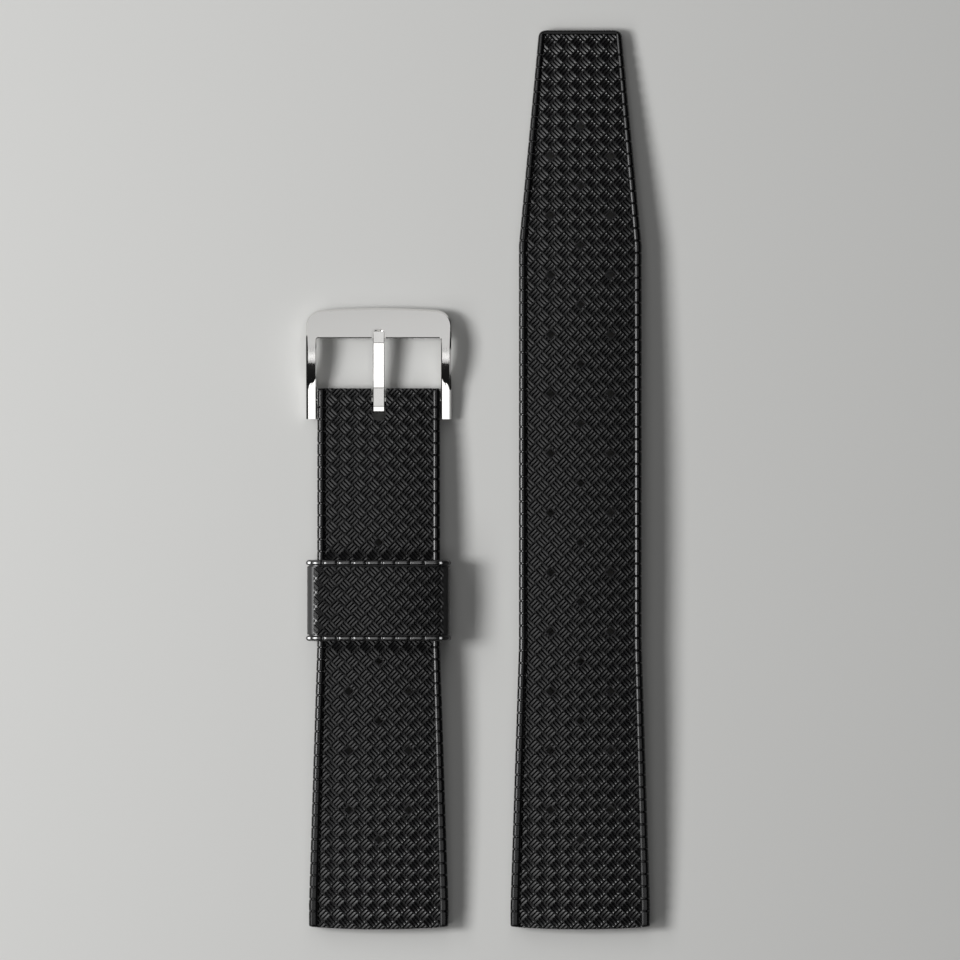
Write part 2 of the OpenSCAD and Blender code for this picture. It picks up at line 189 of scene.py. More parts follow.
def guide_line(name, points, closed=False):
    """A line through points, along which a relief is laid."""
    curve = bpy.data.curves.new(name, "CURVE")
    curve.dimensions = "3D"
    line = curve.splines.new("POLY")
    line.points.add(len(points) - 1)
    line.use_cyclic_u = closed
    for spot, place in zip(line.points, points):
        spot.co = (*place, 1)
    guide = bpy.data.objects.new(name, curve)
    bpy.context.scene.collection.objects.link(guide)
    return guide


# The rims' edges are eased by narrow facets, each of which catches the light at its own slope.
# The underside has as many points as the top, so that quads close the ends.
RIM_OUTER_EDGE = broken_edge(
    (7, 0.04), (15, 0.05), (21, 0.1), (25, 0.1), (40, 0.06), (56, 0.1), (73, 0.04),
)
RIM_INNER_EDGE = broken_edge((8, 0.03), (15, 0.03), (22, 0.12), (26, 0.1), (40, 0.02))
RIM_POINTS = len(RIM_INNER_EDGE) + len(RIM_OUTER_EDGE)
SIDE_POINTS = PANEL_STEPS + 1 + RIM_POINTS
UNDER_STEPS = RIM_POINTS - LOW_CORNER_STEPS - 1


class StrapHalf:
    """The form of one half in millimetres, with y from its lug end."""

    def __init__(self, node, rise, mid_thick, far_thick, widths, panels, nick_pitch, corner_r, band):
        low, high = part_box(node)
        self.x = (low[0] + high[0]) / 2 / MM
        self.y = low[1] / MM
        self.length = (high[1] - low[1]) / MM
        self.rise = rise
        self.mid_thick = mid_thick
        self.far_thick = far_thick
        self.widths = widths
        self.panels = panels
        self.nick_pitch = nick_pitch
        self.corner_r = corner_r
        self.band = band

    def share(self, y, inset):
        """How far along the half a point is, from 0 to 1 between its rounded ends."""
        return min(1, max(0, (y - inset) / (self.length - 2 * inset)))

    def top(self, y):
        """Height of the rims, on the gentle arch that the half is moulded in."""
        return parabola(self.share(y, TOP_EDGE_R), LUG_THICK, self.rise + self.mid_thick, self.far_thick)

    def floor(self, x, y):
        """Height of the panel, slightly crowned from side to side, up to the tip's plain band."""
        drop = PANEL_DROP + PANEL_CURVE * x**2
        if self.band:
            start = self.length - self.band
            drop = drop * (1 - between([(start, 0), (start + BAND_RAMP, 1)], y))
        return self.top(y) - drop

    def under(self, y):
        """Height of the underside, which touches the ground at both ends."""
        return parabola(self.share(y, LOW_EDGE_R), 0, self.rise, 0)

    def bow(self, x, y):
        """How far the lug end's bulge leaves a point behind."""
        return LUG_BOW * (x / self.widths[0][1]) ** 2 * max(0, 1 - y / LUG_BOW_FADE)

    def ring(self, y, nick):
        """The section at y: from the middle of the underside round the right side and the left."""
        end = min(y, self.length - y)
        corner = LUG_CORNER_R if y < self.length / 2 else self.corner_r
        width = between(self.widths, y) - rounding(corner, end)
        panel = min(between(self.panels, y), width - LEAST_RIM)
        low = self.under(y) + rounding(LOW_EDGE_R, end)
        crown = self.top(y) - rounding(TOP_EDGE_R, end)
        floors = [panel * i / PANEL_STEPS for i in range(PANEL_STEPS)] + [panel - FOOT_GROOVE]
        floors = [(x, min(self.floor(x, y), crown - LEAST_DROP)) for x in floors]
        crown = crown - nick * NICK_DEEP
        side = width - nick * NICK_INTO_SIDE * NICK_DEEP
        below = [(x, low) for x, z in floors]
        below += [(panel + (width - SIDE_LOW_R - panel) * i / UNDER_STEPS, low) for i in range(UNDER_STEPS)]
        below += arc(width - SIDE_LOW_R, low + SIDE_LOW_R, SIDE_LOW_R, -90, 0, LOW_CORNER_STEPS)
        above = floors + [(panel + x, max(floors[-1][1], crown - drop)) for x, drop in RIM_INNER_EDGE[::-1]]
        above += [(side - x, crown - drop) for x, drop in RIM_OUTER_EDGE]
        right = below + above[::-1]
        left = [(-x, z) for x, z in above[1:] + below[:0:-1]]
        return [(x, y + self.bow(x, y), z) for x, z in right + left]

    def stations(self):
        """Places of the sections, each with its share of a nick's depth."""
        count = int((self.length - 2 * FIRST_NICK) / self.nick_pitch) + 1
        middles = [FIRST_NICK + i * self.nick_pitch for i in range(count)]
        nicks = [(y + offset, depth) for y in middles for offset, depth in NICK_PROFILE]
        plain = END_STATIONS + [self.length - d for d in END_STATIONS]
        bends = [y for y, width in self.widths[1:-1]]
        plain += [y for y in bends if all(abs(y - n[0]) > NICK_HALF for n in nicks)]
        if self.band:
            plain += [self.length - self.band + d for d in BAND_STATIONS]
        return sorted([(y, 0) for y in plain] + nicks)

    def shell(self, name):
        """The half without its relief and holes: its sections joined, and both ends closed."""
        rings = [self.ring(y, nick) for y, nick in self.stations()]
        count = len(rings[0])
        points = [p for ring in rings for p in ring]
        faces = skin(len(rings), count)
        last = (len(rings) - 1) * count
        top = 2 * SIDE_POINTS - 1
        for first in (0, last):
            for i in range(SIDE_POINTS - 1):
                faces.append((first + i, first + i + 1, first + top - i - 1, first + top - i))
                left = (count - i) % count
                faces.append((first + left, first + count - i - 1, first + top + i + 1, first + top + i))
        return new_piece(name, points, faces)

    def floor_guide(self, name, past):
        """A line along the panel's floor that runs past both ends."""
        steps = 160
        along = [-past + (self.length + 2 * past) * i / steps for i in range(steps + 1)]
        return guide_line(name, [(0, y, self.top(y) - PANEL_DROP) for y in along])

    def panel_outline(self):
        """The woven panel from above, open at the lug end and cut square at the far one."""
        far = self.length - self.band if self.band else self.length + OPEN_END
        side = [(half - FOOT_GROOVE, y) for y, half in self.panels[1:] if y < far]
        side.append((between(self.panels, far) - FOOT_GROOVE, far))
        side.insert(0, (self.panels[0][1] - FOOT_GROOVE, -OPEN_END))
        return side + [(-x, y) for x, y in side[::-1]]


short_half = StrapHalf(
    "strap_buckle_half", rise=2.6, mid_thick=2.5, far_thick=END_THICK,
    widths=[(0, 10), (3.5, 10), (40.8, 8.8), (77.6, 8.8)],
    panels=[(0, 8.8), (3.5, 8.8), (40.8, 7.8), (77.6, 7.8)],
    nick_pitch=1.72, corner_r=0.3, band=0,
)
tail_half = StrapHalf(
    "strap_tail_half", rise=3, mid_thick=2.4, far_thick=2.2,
    widths=[(0, 10), (3.5, 10), (40.8, 8.8), (98.1, 8.8), (129, 5.9)],
    panels=[(0, 8.8), (3.5, 8.8), (40.8, 7.8), (98.1, 7.8), (129, 5.1)],
    nick_pitch=1.78, corner_r=0.9, band=0.66,
)

# The woven relief: cells of three sunken dashes, each cell turned a quarter against the next
WEAVE_PITCH = 2.02
DASH_PITCH = WEAVE_PITCH / math.sqrt(2) / 3
DASH_HALF = 0.69
DASH_R = 0.23
DASH_DEEP = 0.105
DASH_END_STEPS = 4
# The cutter of a dash stands this far over the floor that it cuts
DASH_ABOVE = 0.15


def weave_cell(name):
    """The space of three V-shaped dashes with round ends, along the diagonal of x and y."""
    diagonal = math.sqrt(0.5)
    ends = DASH_HALF - DASH_R
    rim = arc(ends, 0, DASH_R, -90, 90, DASH_END_STEPS) + arc(-ends, 0, DASH_R, 90, 270, DASH_END_STEPS)
    count = len(rim)
    half = count // 2
    points = []
    faces = []
    for row in (-1, 0, 1):
        start = len(points)
        for outline, lift in ((rim, DASH_ABOVE), (rim, 0), ([(ends, 0), (-ends, 0)], -DASH_DEEP)):
            for along, side in outline:
                side += row * DASH_PITCH
                points.append(((along - side) * diagonal, (along + side) * diagonal, lift))
        faces.append(tuple(start + i for i in range(count)))
        for i in range(count):
            j = (i + 1) % count
            near = start + 2 * count + (0 if i < half else 1)
            far = start + 2 * count + (0 if j < half else 1)
            faces.append((start + i, start + j, start + j + count, start + i + count))
            wall = (start + i + count, start + j + count, far, near)
            faces.append(wall if near != far else wall[:3])
    return new_piece(name, points, faces)


def add_node(tree, kind, inputs=None, **settings):
    """Adds a node with its settings, and sets or links its inputs by name or number."""
    node = tree.nodes.new(kind)
    for name, value in settings.items():
        setattr(node, name, value)
    for key, value in (inputs or {}).items():
        if isinstance(value, bpy.types.NodeSocket):
            tree.links.new(value, node.inputs[key])
        else:
            node.inputs[key].default_value = value
    return node


def weave_tree():
    """Lays two grids of cells, the second half a pitch on and turned, along a guide line."""
    tree = bpy.data.node_groups.new("basket weave", "GeometryNodeTree")
    for name, kind in (
        ("Cell", "NodeSocketGeometry"), ("Pitch", "NodeSocketFloat"), ("Columns", "NodeSocketInt"),
        ("Rows", "NodeSocketInt"), ("Across", "NodeSocketFloat"), ("Along", "NodeSocketFloat"),
        ("Side", "NodeSocketVector"), ("Crown", "NodeSocketFloat"), ("Guide", "NodeSocketObject"),
        ("Material", "NodeSocketMaterial"),
    ):
        tree.interface.new_socket(name, in_out="INPUT", socket_type=kind)
    tree.interface.new_socket("Weave", in_out="OUTPUT", socket_type="NodeSocketGeometry")
    given = add_node(tree, "NodeGroupInput").outputs
    last_column = add_node(tree, "ShaderNodeMath", {0: given["Columns"], 1: 1}, operation="SUBTRACT")
    last_row = add_node(tree, "ShaderNodeMath", {0: given["Rows"], 1: 1}, operation="SUBTRACT")
    wide = add_node(tree, "ShaderNodeMath", {
        0: last_column.outputs[0], 1: given["Pitch"],
    }, operation="MULTIPLY")
    long = add_node(tree, "ShaderNodeMath", {
        0: last_row.outputs[0], 1: given["Pitch"],
    }, operation="MULTIPLY")
    grid = add_node(tree, "GeometryNodeMeshGrid", {
        "Size X": wide.outputs[0], "Size Y": long.outputs[0],
        "Vertices X": given["Columns"], "Vertices Y": given["Rows"],
    })
    both = add_node(tree, "GeometryNodeJoinGeometry")
    for shift, turn in ((0, 0), (0.5, math.pi / 2)):
        step = add_node(tree, "ShaderNodeMath", {0: given["Pitch"], 1: shift}, operation="MULTIPLY")
        x = add_node(tree, "ShaderNodeMath", {0: given["Across"], 1: step.outputs[0]}, operation="ADD")
        y = add_node(tree, "ShaderNodeMath", {0: given["Along"], 1: step.outputs[0]}, operation="ADD")
        centre = add_node(tree, "ShaderNodeCombineXYZ", {0: x.outputs[0], 1: y.outputs[0]})
        placed = add_node(tree, "GeometryNodeTransform", {
            "Geometry": grid.outputs["Mesh"], "Translation": centre.outputs[0],
        })
        cells = add_node(tree, "GeometryNodeInstanceOnPoints", {
            "Points": placed.outputs[0], "Instance": given["Cell"], "Rotation": (0, 0, turn),
        })
        tree.links.new(cells.outputs[0], both.inputs[0])
    flat = add_node(tree, "GeometryNodeRealizeInstances", {0: both.outputs[0]})

    # Each point moves from the flat layout to its spot along, beside and above the guide line
    here = add_node(tree, "GeometryNodeInputPosition")
    part = add_node(tree, "ShaderNodeSeparateXYZ", {0: here.outputs[0]})
    guide = add_node(tree, "GeometryNodeObjectInfo", {"Object": given["Guide"]}, transform_space="ORIGINAL")
    length = add_node(tree, "GeometryNodeCurveLength", {0: guide.outputs["Geometry"]})
    reach = add_node(tree, "ShaderNodeMath", {
        0: part.outputs[1], 1: length.outputs[0],
    }, operation="FLOORED_MODULO")
    spot = add_node(tree, "GeometryNodeSampleCurve", {
        "Curves": guide.outputs["Geometry"], "Length": reach.outputs[0],
    }, mode="LENGTH")
    up = add_node(tree, "ShaderNodeVectorMath", {
        0: given["Side"], 1: spot.outputs["Tangent"],
    }, operation="CROSS_PRODUCT")
    sideways = add_node(tree, "ShaderNodeVectorMath", {
        0: given["Side"], "Scale": part.outputs[0],
    }, operation="SCALE")
    square = add_node(tree, "ShaderNodeMath", {
        0: part.outputs[0], 1: part.outputs[0],
    }, operation="MULTIPLY")
    fall = add_node(tree, "ShaderNodeMath", {
        0: square.outputs[0], 1: given["Crown"],
    }, operation="MULTIPLY")
    high = add_node(tree, "ShaderNodeMath", {
        0: part.outputs[2], 1: fall.outputs[0],
    }, operation="SUBTRACT")
    upwards = add_node(tree, "ShaderNodeVectorMath", {
        0: up.outputs[0], "Scale": high.outputs[0],
    }, operation="SCALE")
    across = add_node(tree, "ShaderNodeVectorMath", {
        0: spot.outputs["Position"], 1: sideways.outputs[0],
    }, operation="ADD")
    target = add_node(tree, "ShaderNodeVectorMath", {
        0: across.outputs[0], 1: upwards.outputs[0],
    }, operation="ADD")
    bent = add_node(tree, "GeometryNodeSetPosition", {
        "Geometry": flat.outputs[0], "Position": target.outputs[0],
    })
    dressed = add_node(tree, "GeometryNodeSetMaterial", {
        "Geometry": bent.outputs[0], "Material": given["Material"],
    })
    add_node(tree, "NodeGroupOutput", {0: dressed.outputs[0]})
    return tree


def linear(hex_colour):
    """An sRGB hex colour as the linear red, green, blue and alpha that shaders take."""
    parts = [int(hex_colour[i:i + 2], 16) / 255 for i in (1, 3, 5)]
    return tuple(p / 12.92 if p <= 0.04045 else ((p + 0.055) / 1.055) ** 2.4 for p in parts) + (1,)


def black_rubber(name, smooth, matt, specular, grain_deep, ior=1.5):
    """Moulded rubber: nearly black, with a soft sheen and faint clouds some 9 mm wide.

    The mould's grain is finer than a pixel, so it is drawn at 0.12 mm to show.
    """
    material = bpy.data.materials.new(name)
    material.use_nodes = True
    tree = material.node_tree
    shader = tree.nodes["Principled BSDF"]
    place = add_node(tree, "ShaderNodeTexCoord")
    cloud = add_node(tree, "ShaderNodeTexNoise", {
        "Vector": place.outputs["Object"], "Scale": 1 / (9 * MM), "Detail": 3,
    })
    tone = add_node(tree, "ShaderNodeMix", {
        "Factor": cloud.outputs["Fac"], 6: linear("#040405"), 7: linear("#080809"),
    }, data_type="RGBA")
    grain = add_node(tree, "ShaderNodeTexNoise", {
        "Vector": place.outputs["Object"], "Scale": 1 / (0.12 * MM), "Detail": 2,
    })
    sheen = add_node(tree, "ShaderNodeMapRange", {
        "Value": grain.outputs["Fac"], "To Min": smooth, "To Max": matt,
    })
    relief = add_node(tree, "ShaderNodeBump", {
        "Height": grain.outputs["Fac"], "Strength": 0.25, "Distance": grain_deep * MM,
    })
    tree.links.new(tone.outputs[2], shader.inputs["Base Color"])
    tree.links.new(sheen.outputs[0], shader.inputs["Roughness"])
    tree.links.new(relief.outputs[0], shader.inputs["Normal"])
    shader.inputs["Specular IOR Level"].default_value = specular
    shader.inputs["IOR"].default_value = ior
    return material


# The top is moulded smooth: the relief's walls catch the light softly.
rubber = black_rubber("moulded_black_rubber", smooth=0.24, matt=0.3, specular=0.36, grain_deep=0.003)
# The underside is moulded matt: it stays dull and dark at every angle.
matt_rubber = black_rubber(
    "matt_black_rubber_underside", smooth=0.6, matt=0.7, specular=0, grain_deep=0.003,
)
basket_weave = weave_tree()


def grow(piece, tree, values):
    """Sets a node tree's inputs on a piece and makes the result the piece's own mesh."""
    step = piece.modifiers.new(tree.name, "NODES")
    step.node_group = tree
    for socket in tree.interface.items_tree:
        if socket.name in values:
            step[socket.identifier] = values[socket.name]
    settle(piece)


def lay_weave(name, guide, columns, rows, across, along, side, crown=0):
    """The space of the whole relief's dashes, laid along a guide line."""
    cells = weave_cell(name)
    grow(cells, basket_weave, {
        "Pitch": WEAVE_PITCH, "Columns": columns, "Rows": rows, "Across": across, "Along": along,
        "Side": side, "Crown": crown, "Guide": guide, "Material": rubber,
    })
    bpy.data.objects.remove(guide)
    return cells


def finish_piece(piece, x, y, z, material, sharp):
    """Takes a piece from its own millimetres to its place in metres, and gives it its surface."""
    piece.data.transform(Matrix.Translation((x * MM, y * MM, z * MM)) @ Matrix.Scale(MM, 4))
    piece.data.materials.clear()
    piece.data.materials.append(material)
    piece.data.shade_smooth()
    piece.data.set_sharp_from_angle(angle=math.radians(sharp))


# The diamond holes, the lug bores, and the slot and bore of the buckle end
# A bore's distance is measured from the end of the half that it lies at
HOLE_PITCH = 8.52
FIRST_HOLE = 12.9
CENTRE_HOLE = 1.25
SIDE_HOLE = 1.35
SIDE_HOLE_X = 4.29
HOLE_BORDER = 0.22
LUG_BORE_IN = 2
LUG_BORE_R = 0.95
BAR_IN = 1.72
BAR_BORE_R = 0.8
SLOT_HALF = 1.05
SLOT_LEN = 4.7
WEAVE_COLUMNS = 11
# Cutters reach past the piece: in height, to each side, and along the relief's guide line
CUT_LOW = -1
CUT_HIGH = 10
CUT_SIDE = 12
GUIDE_PAST = 5
# Faces whose normal points lower than this have the underside's matt finish
UNDERSIDE_BELOW = -0.5


def diamond(x, y, across, border=0):
    """The space of a diamond hole, grown by a border that keeps the relief off its edge."""
    half = across / 2 + border
    outline = [(x + half, y), (x, y + half), (x - half, y), (x, y - half)]
    return prism("hole", outline, CUT_LOW, CUT_HIGH)


def strap_piece(name, half, holes, weave_across, weave_along):
    """One half with its relief, its holes and its lug bore cut out of the solid shape."""
    piece = half.shell(name)
    weave = lay_weave(
        name + "_weave", half.floor_guide("guide", GUIDE_PAST), columns=WEAVE_COLUMNS,
        rows=2 * int(half.length / WEAVE_PITCH / 2) + 3,
        across=weave_across, along=weave_along + GUIDE_PAST, side=(1, 0, 0), crown=PANEL_CURVE,
    )
    combine(weave, "INTERSECT", prism("panel", half.panel_outline(), CUT_LOW, CUT_HIGH))
    places = [(0, FIRST_HOLE + i * HOLE_PITCH, CENTRE_HOLE) for i in range(holes)]
    places += [
        (x, FIRST_HOLE + (i + 0.5) * HOLE_PITCH, SIDE_HOLE)
        for i in range(holes - 1)
        for x in (-SIDE_HOLE_X, SIDE_HOLE_X)
    ]
    for x, y, across in places:
        combine(weave, "DIFFERENCE", diamond(x, y, across, HOLE_BORDER))
    combine(piece, "DIFFERENCE", weave)
    for x, y, across in places:
        combine(piece, "DIFFERENCE", diamond(x, y, across))
    combine(piece, "DIFFERENCE", rod("lug bore", LUG_BORE_IN, LUG_THICK / 2, LUG_BORE_R, CUT_SIDE))
    return piece


strap_short = strap_piece(
    "strap_buckle_half_rubber", short_half, holes=6, weave_across=0.18, weave_along=38.53,
)
slot = arc(0, short_half.length - SLOT_LEN + SLOT_HALF, SLOT_HALF, 180, 360, 24)
slot += [(SLOT_HALF, short_half.length + OPEN_END), (-SLOT_HALF, short_half.length + OPEN_END)]
combine(strap_short, "DIFFERENCE", prism("slot", slot, CUT_LOW, CUT_HIGH))
combine(
    strap_short, "DIFFERENCE",
    rod("bar bore", short_half.length - BAR_IN, END_THICK / 2, BAR_BORE_R, CUT_SIDE),
)
strap_long = strap_piece(
    "strap_tail_half_rubber", tail_half, holes=13, weave_across=-0.44, weave_along=64.78,
)
for piece, half, body, node in (
    (strap_short, short_half, "short_half", "strap_buckle_half"),
    (strap_long, tail_half, "long_half", "strap_tail_half"),
):
    finish_piece(piece, half.x, half.y, 0, rubber, sharp=17)
    piece.data.materials.append(matt_rubber)
    for face in piece.data.polygons:
        if face.normal.z < UNDERSIDE_BELOW:
            face.material_index = 1
    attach(piece, body)
    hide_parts(node)


# The keeper
# A loop of the same rubber, moulded whole, that slides on the short half and holds the tip of the
# long one. Its top has the weave between two beaded rims, and its grained corners are plain.

KEEPER_W = 20.5
KEEPER_H = 7.3
KEEPER_R = 1.8
KEEPER_CROWN = 0.35
KEEPER_WALL = 1.15
KEEPER_LEN = 11.6
# The beads of the rims: heights are over the wall, and the row starts at BEAD_SEAM
BEAD_LEN = 0.75
BEAD_HIGH = 0.15
BEAD_LOW = -0.15
BEAD_GAP = 0.24
BEAD_COUNT = 25
BEAD_SEAM = 0.37
BEAD_STEPS = 14
BEAD_FACE_DROP = 0.32
BEAD_RISE = 0.37
BEAD_FALL = 0.25
# A groove parts each rim from the woven floor
GROOVE_W = 0.2
GROOVE_DEEP = 0.3
GROOVE_SLOPE = 0.06
KEEPER_FLOOR = 0.03
KEEPER_INNER_R = 0.3
KEEPER_ROUND = 2 * (KEEPER_W + KEEPER_H) - 8 * KEEPER_R + 2 * math.pi * KEEPER_R
KEEPER_COLUMNS = 7
KEEPER_ROWS = 25
KEEPER_WEAVE_ACROSS = -0.17
KEEPER_WEAVE_ALONG = 1.16
# The weave ends this far from the middle, and from GRAINED_FROM on the upward faces are grained
WEAVE_REACH = 9.3
GRAINED_FROM = 8.9
GRAINED_ABOVE = 0.25


def loop_point(s, out):
    """A point of the keeper's section, s millimetres round from the middle of the top."""
    flat = KEEPER_W / 2 - KEEPER_R
    wall = KEEPER_H / 2 - KEEPER_R
    bend = math.pi / 2 * KEEPER_R
    half = 2 * (flat + wall + bend)
    s = (s + half) % (2 * half) - half
    side = 1 if s >= 0 else -1
    s = abs(s)
    if s <= flat:
        x, z, angle = s, wall, 90
    elif s <= flat + bend:
        x, z, angle = flat, wall, 90 - math.degrees((s - flat) / KEEPER_R)
    elif s <= flat + bend + 2 * wall:
        x, z, angle = flat, wall - (s - flat - bend), 0
    elif s <= flat + 2 * bend + 2 * wall:
        x, z, angle = flat, -wall, -math.degrees((s - flat - bend - 2 * wall) / KEEPER_R)
    else:
        x, z, angle = half - s, -wall, -90
    reach = KEEPER_R + out
    turned = math.radians(angle)
    x += reach * math.cos(turned)
    z += reach * math.sin(turned)
    fall = KEEPER_CROWN * (x / flat) ** 2 * max(0, z / (KEEPER_H / 2)) ** 2 if out > -KEEPER_WALL else 0
    return side * x, z - fall


def keeper_profile(bead):
    """The wall's section along the strap, as (y, height over the wall), where bead is 1 on a bead."""
    high = BEAD_LOW + (BEAD_HIGH - BEAD_LOW) * bead
    rim = [(0, -BEAD_FACE_DROP)]
    for c, s in arc(0, 0, 1, 15, 90, 5):
        rim.append((BEAD_RISE - BEAD_RISE * c, -BEAD_FACE_DROP + (high + BEAD_FACE_DROP) * s))
    for c, s in arc(0, 0, 1, 0, 75, 5):
        rim.append((BEAD_LEN - BEAD_FALL * (1 - s), high - (high + GROOVE_DEEP) * (1 - c)))
    rim.append((BEAD_LEN, -GROOVE_DEEP))
    rim.append((BEAD_LEN + GROOVE_W - GROOVE_SLOPE, -GROOVE_DEEP))
    rim.append((BEAD_LEN + GROOVE_W, -KEEPER_FLOOR))
    r = KEEPER_INNER_R
    inner = [(r - r * c, r - r * s - KEEPER_WALL) for c, s in arc(0, 0, 1, 90, 0, 4)]
    outer = rim + [(KEEPER_LEN - y, h) for y, h in rim[::-1]]
    return outer + [(KEEPER_LEN - y, h) for y, h in inner[::-1]] + inner


def keeper_shell(name):
    """The loop, ring by ring, with its beads as squared-off domes in a row along each rim."""
    pitch = KEEPER_ROUND / BEAD_COUNT
    points = []
    for bead in range(BEAD_COUNT):
        for i in range(BEAD_STEPS):
            t = i / BEAD_STEPS
            s = BEAD_SEAM + (bead + t) * pitch
            off = abs(t - 0.5) * pitch / (pitch / 2 - BEAD_GAP / 2)
            swell = max(0, 1 - off**4) ** 0.5
            for y, h in keeper_profile(swell):
                x, z = loop_point(s, h)
                points.append((x, y, z))
    rings = BEAD_COUNT * BEAD_STEPS
    return new_piece(name, points, skin(rings, len(points) // rings, closed=True))


def keeper_guide(name, drop):
    """A closed line round the keeper's woven floor, clockwise from the middle of the top."""
    steps = 240
    spots = [loop_point(KEEPER_ROUND * i / steps, -drop) for i in range(steps)]
    return guide_line(name, [(x, 0, z) for x, z in spots], closed=True)


# The corners have a coarser grain, which spreads the light into a broad grey sheen.
grained_rubber = black_rubber(
    "grained_black_rubber_corners", smooth=0.4, matt=0.48, specular=1, grain_deep=0.01, ior=1.6,
)
# The beads are smoother than the rest, so each shows a small bright spot.
bead_rubber = black_rubber(
    "polished_black_rubber_beads", smooth=0.26, matt=0.32, specular=1, grain_deep=0.001, ior=1.72,
)
keeper_low, keeper_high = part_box("keeper")
keeper_x = (keeper_low[0] + keeper_high[0]) / 2
keeper = keeper_shell("keeper_rubber")
keeper_weave = lay_weave(
    "keeper_weave", keeper_guide("guide", KEEPER_FLOOR), columns=KEEPER_COLUMNS, rows=KEEPER_ROWS,
    across=-KEEPER_LEN / 2 + KEEPER_WEAVE_ACROSS, along=KEEPER_WEAVE_ALONG, side=(0, -1, 0),
)
inner_edge = BEAD_LEN + GROOVE_W
keeper_panel = [
    (-WEAVE_REACH, inner_edge), (WEAVE_REACH, inner_edge),
    (WEAVE_REACH, KEEPER_LEN - inner_edge), (-WEAVE_REACH, KEEPER_LEN - inner_edge),
]
combine(keeper_weave, "INTERSECT", prism("panel", keeper_panel, 0, CUT_HIGH))
combine(keeper, "DIFFERENCE", keeper_weave)
finish_piece(
    keeper, keeper_x / MM, keeper_low[1] / MM, (keeper_low[2] + keeper_high[2]) / 2 / MM,
    rubber, sharp=17,
)
keeper.data.materials.append(grained_rubber)
keeper.data.materials.append(bead_rubber)
for face in keeper.data.polygons:
    from_middle = abs(face.center.x - keeper_x) / MM
    from_end = min(face.center.y - keeper_low[1], keeper_high[1] - face.center.y) / MM
    if from_end < BEAD_LEN:
        face.material_index = 2
    elif from_middle > GRAINED_FROM and face.normal.z > GRAINED_ABOVE:
        face.material_index = 1
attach(keeper, "keeper_loop")
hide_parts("keeper")


# The buckle frame
# Steel, cut and pressed from one bar, with an arched front bar, two arms and two thin ears that
# turn on the spring bar. The top is satin, and the ears and edges are polished.

# Places along the frame are measured from the spring bar, and heights from the ground
EAR_BACK = 2.7
EAR_FORE = 2.5
EAR_END_TOP = 2.15
EAR_TOP = 2.9
EAR_LOW = 0.45
CREST_Y = 8
ARM_TOP = 4.2
ARM_UNDER = 2
FRONT_TOP = 2.4
FRONT_BEND = 1.5
# The front bar, its rounded corners and the window behind it
REACH = 13.25
BAR_W = 4.35
FRONT_SAG = 0.3
FRONT_R = 2.2
WINDOW_R = 0.3
WINDOW_HALF = 8.95
FRAME_HALF = 10.4
EAR_STATIONS = [-EAR_BACK, -1.5, -0.5, 0.5, 1.3, 1.9, EAR_FORE]
# Chamfers along the inner and the outer edge, with their slope in degrees from level
EDGE_IN = 0.14
EDGE_OUT = 0.27
EDGE_SLOPE = 34
# The arm's foot meets the ear in a rounded corner outside and a fillet inside
EAR_CORNER_SHARE = 0.55
EAR_CORNER_LEN = 1
EAR_CORNER_BEND = 2.5
EAR_FILLET_SHARE = 0.4
EAR_FILLET_LEN = 0.6
FOOT_FADE = 2
FOOT_STEP = 0.012
ARM_SPREAD = 4.1
ARM_CROWDING = 1.6
ARM_STEPS = 14
BEND_STEPS = 8
CORNER_STEPS = 12
BAR_STEPS = 16
TOP_STEPS = 26
PIN_HOLE_R = 0.45
# Faces whose normal points up less than this are polished, with a limit of its own for the arms
POLISHED_BELOW = 0.84
ARM_POLISHED_BELOW = 0.972


def foot_shift(x):
    """How far the arm's foot leaves a straight line, round the ear's corner and fillet."""
    inner = WINDOW_HALF + EDGE_IN
    share = min(1, max(0, (abs(x) - inner) / (FRAME_HALF - EDGE_OUT - inner)))
    fillet = EAR_FILLET_LEN * max(0, 1 - share / EAR_FILLET_SHARE) ** 2
    corner = EAR_CORNER_LEN * max(0, 1 - (1 - share) / EAR_CORNER_SHARE) ** EAR_CORNER_BEND
    return fillet - corner


def frame_top(x, y):
    """Height of the frame's upper face over a point, with y from the spring bar."""
    if y <= EAR_FORE + foot_shift(x) + FOOT_STEP / 2:
        return EAR_END_TOP + (EAR_TOP - EAR_END_TOP) * (y + EAR_BACK) / (EAR_FORE + EAR_BACK)
    if y <= CREST_Y:
        share = (CREST_Y - y) / (CREST_Y - EAR_FORE)
        return ARM_TOP - (ARM_TOP - EAR_TOP) * share**2
    share = min(1, (y - CREST_Y) / (REACH - CREST_Y))
    return ARM_TOP - (ARM_TOP - FRONT_TOP) * share**FRONT_BEND


def frame_under(y):
    """Height of the frame's lower face, which arches over the strap."""
    if y <= EAR_FORE:
        return EAR_LOW
    return parabola(min(1, (y - EAR_FORE) / (REACH - EAR_FORE)), EAR_LOW, ARM_UNDER, 0)


